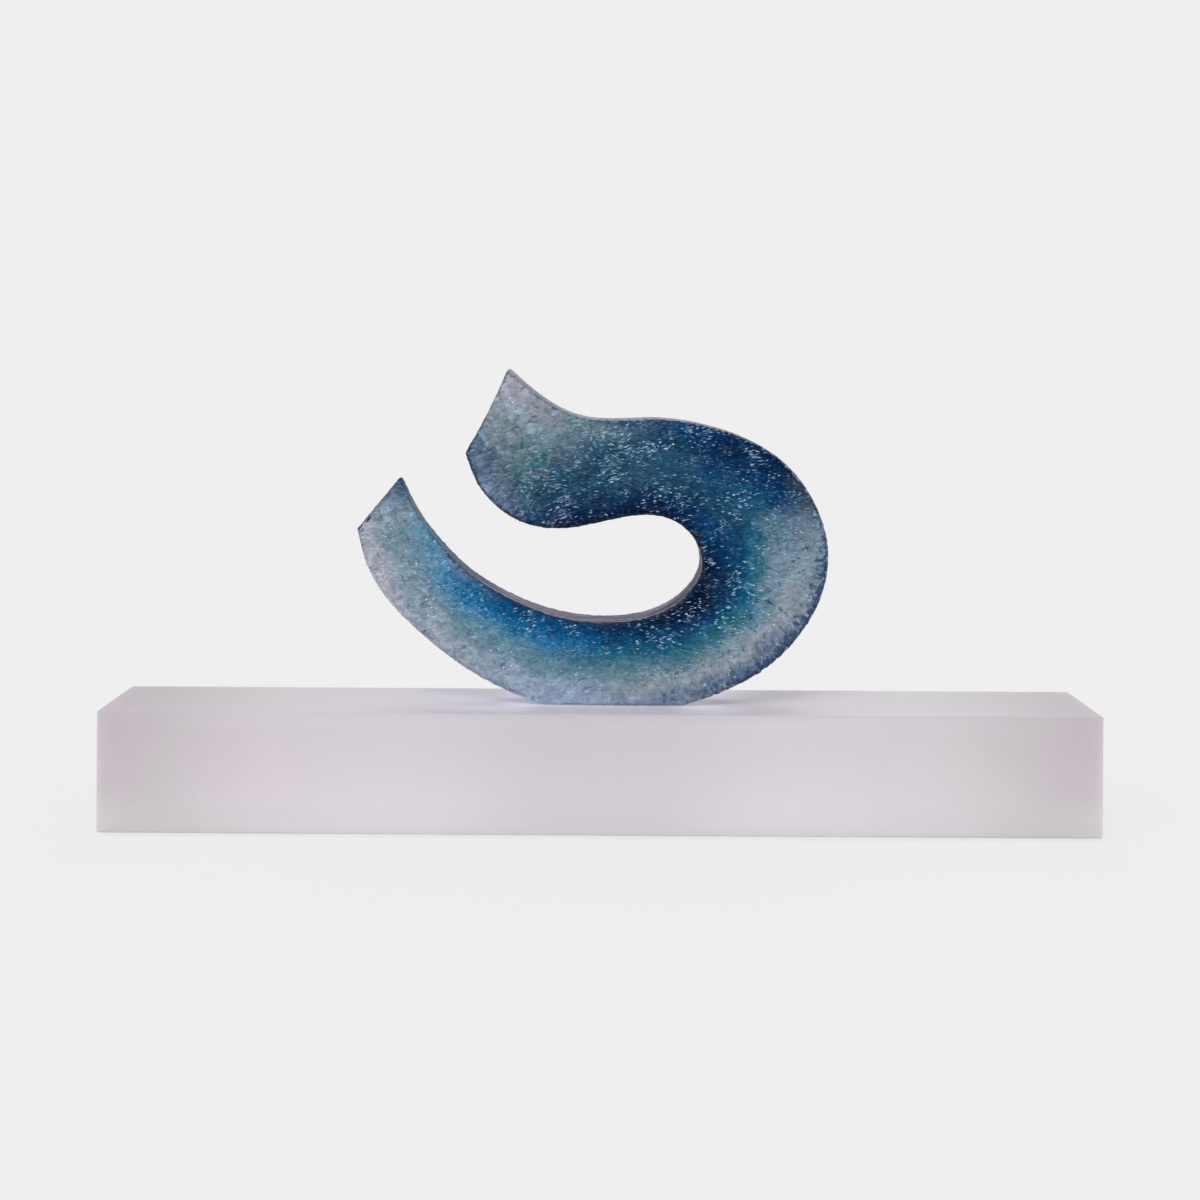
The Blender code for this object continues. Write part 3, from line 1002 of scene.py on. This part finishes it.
gritty = use_group(tree, grain, {"Place": place, "Size": 0.45, "Roughness": 0.42, "Variation": 0.15})
ripples = between(tree, broad, gritty.outputs["Height"], bright.node.outputs["Height"])
connect(tree, body, {
    "Base Color": tint,
    "Roughness": between(tree, broad, gritty.outputs["Roughness"], GLOSS),
    "Normal": bumped(tree, ripples, 0.5, 0.0005),
    "Coat Weight": glint,
    "Coat Roughness": 0.12,
    "Specular IOR Level": 0.03,
    # The thin lower rim's painted glow.
    "Emission Color": blend(tree, lit_rim, BLACK, RIM_LIGHT),
    "Emission Strength": 0.32,
})
curl.data.materials.clear()
curl.data.materials.append(resin)
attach(curl, "root")
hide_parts("spiral_form")
print("the whole resin tree has", len(tree.nodes), "nodes")

# %% [markdown]
# ## The frosted block
#
# The block is one solid casting with a fine frosted skin. Light sinks in and pools, so its
# ends are a little darker, with grey and pink clouds and three pink pools, the middle under
# the curl is greyer in its shade, and a pale band of light lies in the lower third of the long
# faces. Those tones of light and shade sit in the block, not on the camera, so they are
# painted by place along and up the block, with subsurface light on top.

# %% Frosted block material
# The ends' painted shade, the faces' own lilac, and the painted shade of the curl over the middle.
SHADED_END_LILAC = (179, 167, 177)
FACE_LILAC = (211, 205, 212)
CURL_SHADE_LILAC = (202, 198, 205)

frosted, tree, body = new_material("frosted_block")
place = place_in_mm(tree)
axes = add(tree, "ShaderNodeSeparateXYZ", {0: place})
from_middle = unsigned(tree, axes.outputs["X"])
end_gap = minus(tree, block_high.x / MM, from_middle)
tone = blend(tree, ease(tree, end_gap, 0.0, 110.0), SHADED_END_LILAC, FACE_LILAC)
tone = blend(tree, ease(tree, from_middle, 20.0, 120.0, 0.8, 0.0), tone, CURL_SHADE_LILAC)

# %% A painted band of light low on the long faces
LIGHT_BAND_HEIGHT = 15.0
LIGHT_BAND = (217, 212, 219)

light_band = unsigned(tree, minus(tree, axes.outputs["Z"], LIGHT_BAND_HEIGHT))
light_band = times(
    tree,
    ease(tree, light_band, 24.0, 4.0),
    ease(tree, end_gap, 20.0, 90.0),
    ease(tree, from_middle, 20.0, 120.0, 0.1, 1.0),
    0.5,
)
tone = blend(tree, light_band, tone, LIGHT_BAND)

# %% Painted light: grey and pink clouds towards the ends, and a paler foot at both corners
# Each pool's place along and up the block, its reach both ways, and its strength.
PINK_LIGHT_POOLS = (
    (-292.0, 50.0, 26.0, 32.0, 0.5),
    (-206.0, 41.0, 46.0, 26.0, 0.85),
    (287.0, 43.0, 26.0, 28.0, 0.5),
)
GREY_LIGHT_CLOUD = (203, 202, 201)
PINK_LIGHT_CLOUD = (209, 196, 205)
CORNER_LIGHT = (213, 213, 209)

pink_light = ease(tree, drawn_noise(tree, place, (0.014, 0.01, 0.03), 1.0), 0.3, 0.7, 0.0, 0.3)
for along, up, reach, rise, strength in PINK_LIGHT_POOLS:
    gap = vectors(tree, "SUBTRACT", place, (along, 0.0, up))
    gap = length_of(tree, vectors(tree, "MULTIPLY", gap, (1 / reach, 0.0, 1 / rise)))
    pink_light = plus(tree, pink_light, ease(tree, gap, 1.35, 0.35, 0.0, strength))
light_clouds = blend(tree, pink_light, GREY_LIGHT_CLOUD, PINK_LIGHT_CLOUD)
tone = blend(tree, ease(tree, end_gap, 190.0, 60.0, 0.0, 0.55), tone, light_clouds)
corner_light = times(tree, ease(tree, end_gap, 70.0, 5.0), ease(tree, axes.outputs["Z"], 34.0, 10.0))
tone = blend(tree, times(tree, corner_light, 0.35), tone, CORNER_LIGHT)

# %% Painted shade on the upper parts of the faces, and on the edges
SHADE_UNDER_EDGE = (244, 244, 245)
SHADED_UPPER_FRONT = (247, 247, 247)
SHADED_EDGE_LINE = (243, 243, 244)

half_depth = (block_high.y - block_low.y) / 2 / MM
middle_depth = (block_high.y + block_low.y) / 2 / MM
top_gap = minus(tree, block_high.z / MM, axes.outputs["Z"])
side_gap = minus(tree, half_depth, unsigned(tree, minus(tree, axes.outputs["Y"], middle_depth)))
side_gap = calculate(tree, "MINIMUM", side_gap, end_gap)
on_side = ease(tree, side_gap, 2.0, 0.5)
tone = blend(tree, times(tree, ease(tree, top_gap, 7.0, 0.5), on_side), tone, SHADE_UNDER_EDGE, "MULTIPLY")
tone = blend(tree, times(tree, ease(tree, top_gap, 44.0, 2.0), on_side), tone, SHADED_UPPER_FRONT, "MULTIPLY")
shaded_edge_line = ease(tree, plus(tree, top_gap, side_gap), 1.8, 0.9)
tone = blend(tree, shaded_edge_line, tone, SHADED_EDGE_LINE, "MULTIPLY")

# %% [markdown]
# ### Light that comes up round the foot
#
# Light that enters the block far away travels through it and comes out again in the shade of
# the curl, so the top is not as dark there as on a painted block. Subsurface light alone
# reaches only a few centimetres, so the rest is painted in as a faint glow. It fades with the
# distance from the foot, is weaker right before it, stronger on its shaded right side, and has
# a small patch to its left.

# %% Distance from the foot, beside it and before it
FOOT_HALF = 47.0
FOOT_DEPTH = 21.0
WIDE_REACH = (66.0, 50.0, 1.0)
NEAR_REACH = (26.0, 10.0, 1.0)

from_foot = minus(tree, axes.outputs["X"], foot.x / MM)
aside = minus(tree, unsigned(tree, from_foot), FOOT_HALF)
before = minus(tree, foot.y / MM - FOOT_DEPTH, axes.outputs["Y"])
outside = add(tree, "ShaderNodeCombineXYZ", {"X": aside, "Y": before, "Z": 0.0}).outputs[0]
outside = vectors(tree, "MAXIMUM", outside, (0.0, 0.0, 0.0))
wide = length_of(tree, vectors(tree, "DIVIDE", outside, WIDE_REACH))
near = length_of(tree, vectors(tree, "DIVIDE", outside, NEAR_REACH))

# %% The painted glow
PATCH_PLACE = (-78.0, -32.0, 74.8)
PATCH_REACH = (50.0, 17.0, 10.0)
THROUGH = (210, 208, 218)

in_front = times(tree, ease(tree, before, -3.0, 3.0), ease(tree, aside, 5.0, -10.0))
patch = vectors(tree, "DIVIDE", vectors(tree, "SUBTRACT", place, PATCH_PLACE), PATCH_REACH)
light = plus(tree, ease(tree, wide, 1.0, 0.0, 0.0, 0.38), ease(tree, near, 1.0, 0.0, 0.0, 0.24))
light = times(tree, light, ease(tree, in_front, 0.0, 1.0, 1.0, 0.55))
light = times(tree, light, ease(tree, from_foot, 40.0, 70.0, 1.0, 1.8))
light = plus(tree, light, ease(tree, length_of(tree, patch), 1.0, 0.0, 0.0, 0.2))
light = times(tree, light, ease(tree, top_gap, 1.0, 0.3), ease(tree, side_gap, 0.4, 1.6))

# %% Frost over it


def dress(node, finish):
    """Gives a solid its finish in all its material slots."""
    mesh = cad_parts[node].data
    mesh.materials.clear()
    mesh.materials.append(finish)


frost = use_group(tree, grain, {"Place": place, "Size": 0.35, "Roughness": 0.5, "Variation": 0.1})
connect(tree, body, {
    "Base Color": tone,
    "Roughness": frost.outputs["Roughness"],
    "Normal": bumped(tree, frost.outputs["Height"], 0.12, 0.0002),
    "Specular IOR Level": 0.2,
    "Subsurface Weight": 0.6,
    "Subsurface Radius": (1.0, 0.95, 1.0),
    "Subsurface Scale": 0.02,
    "Emission Color": blend(tree, light, BLACK, THROUGH),
    "Emission Strength": 0.6,
})
dress("plinth_block", frosted)
print("the block's tree has", len(tree.nodes), "nodes")

# %% [markdown]
# ## The dowels and the pads
#
# The dowels are bought pins of ground steel. They are hidden when the piece is together, and
# they get fine lines round them from the grinder. The pads are clear polyurethane, which
# looks pale grey against the block.

# %% Dowel steel
STEEL_DARK = (176, 178, 182)
STEEL_PALE = (206, 208, 212)

steel, tree, body = new_material("dowel_steel")
lines = drawn_noise(tree, place_in_mm(tree), (0.2, 0.2, 6.0), 3.0)
connect(tree, body, {
    "Base Color": blend(tree, lines, STEEL_DARK, STEEL_PALE),
    "Roughness": ease(tree, lines, 0.3, 0.7, 0.22, 0.36),
    "Normal": bumped(tree, lines, 0.2, 0.0001),
    "Metallic": 1.0,
})
for pin_side in ("left", "right"):
    dress(f"locating_pin_{pin_side}", steel)

# %% Clear pads
PAD_DARK = (196, 198, 202)
PAD_PALE = (222, 224, 226)

pad_finish, tree, body = new_material("clear_pads")
place = place_in_mm(tree)
dust = soft_noise(tree, place, 0.6, 4.0).outputs["Fac"]
soft = use_group(tree, grain, {"Place": place, "Size": 0.3, "Roughness": 0.35, "Variation": 0.2})
connect(tree, body, {
    "Base Color": blend(tree, dust, PAD_DARK, PAD_PALE),
    "Roughness": soft.outputs["Roughness"],
    "Normal": bumped(tree, soft.outputs["Height"], 0.1, 0.0001),
})
for pad_corner in ("front_left", "front_right", "back_left", "back_right"):
    dress(f"foot_pad_{pad_corner}", pad_finish)

# %% [markdown]
# ## The studio
#
# The picture has an even, pale grey ground with no horizon. The world shows that grey to the
# camera and through clear things, the floor shows it to the camera, to reflections and through
# clear things, and the floor mixes in its own lit surface close to the object, so that a soft
# shadow stays. The light is plain: an even world, one large soft lamp above the front left, and
# weaker ones at the front right and behind.

# %% World
GROUND = {"Color": (0.863, 0.863, 0.863, 1.0), "Strength": 1.0}
EVEN_LIGHT = {"Color": (1.0, 1.0, 1.0, 1.0), "Strength": 0.5}

world = bpy.data.worlds.new("studio")
scene.world = world
world.use_nodes = True
tree = world.node_tree
shown = add(tree, "ShaderNodeBackground", GROUND)
lit = add(tree, "ShaderNodeBackground", EVEN_LIGHT)
rays = add(tree, "ShaderNodeLightPath").outputs
seen = calculate(tree, "MAXIMUM", rays["Is Camera Ray"], rays["Is Transmission Ray"])
both = add(tree, "ShaderNodeMixShader", {0: seen, 1: lit.outputs[0], 2: shown.outputs[0]})
connect(tree, tree.nodes["World Output"], {"Surface": both.outputs[0]})

# %% A wide floor
FLOOR_SIZE = 40.0
FLOOR_DROP = 2.4 * MM

bm = bmesh.new()
bmesh.ops.create_grid(bm, x_segments=1, y_segments=1, size=FLOOR_SIZE / 2)
floor_mesh = bpy.data.meshes.new("floor")
bm.to_mesh(floor_mesh)
bm.free()
floor = bpy.data.objects.new("floor", floor_mesh)
floor.location.z = block_low.z - FLOOR_DROP
scene.collection.objects.link(floor)

# %% The floor's finish
FLOOR_GREY = (0.8, 0.8, 0.8, 1.0)
NEAR_OBJECT = (0.0016, 0.003, 0.0)

floor_finish = bpy.data.materials.new("pale_floor")
floor_finish.use_nodes = True
tree = floor_finish.node_tree
tree.nodes.clear()
near = length_of(tree, vectors(tree, "MULTIPLY", place_in_mm(tree), NEAR_OBJECT))
rays = add(tree, "ShaderNodeLightPath").outputs
kinds = ("Camera", "Transmission", "Glossy")
seen = calculate(tree, "MAXIMUM", *[rays[f"Is {kind} Ray"] for kind in kinds])
share = times(tree, seen, ease(tree, near, 0.5, 1.2, 0.9, 1.0))
surface = add(tree, "ShaderNodeBsdfDiffuse", {"Color": FLOOR_GREY})
shown = add(tree, "ShaderNodeEmission", GROUND)
both = add(tree, "ShaderNodeMixShader", {0: share, 1: surface.outputs[0], 2: shown.outputs[0]})
add(tree, "ShaderNodeOutputMaterial", {"Surface": both.outputs[0]})
floor_mesh.materials.append(floor_finish)

# %% Lamps: their places and widths in metres, and their power in watts
LAMPS = (
    ("key_lamp", (-0.6, -1.7, 1.4), 1.2, 26.0),
    ("right_lamp", (1.3, -1.5, 0.5), 0.9, 8.0),
    ("back_lamp", (0.2, 1.5, 1.3), 1.0, 9.0),
)
aim = Vector((0.0, 0.0, block_high.z))
for name, spot, width, power in LAMPS:
    lamp = bpy.data.lights.new(name, "AREA")
    lamp.size = width
    lamp.energy = power
    holder = bpy.data.objects.new(name, lamp)
    holder.location = spot
    holder.rotation_euler = (aim - Vector(spot)).to_track_quat("-Z", "Y").to_euler()
    scene.collection.objects.link(holder)
print("lamps:", ", ".join(name for name, *_ in LAMPS))

# %% Plain view settings
scene.view_settings.view_transform = "Standard"
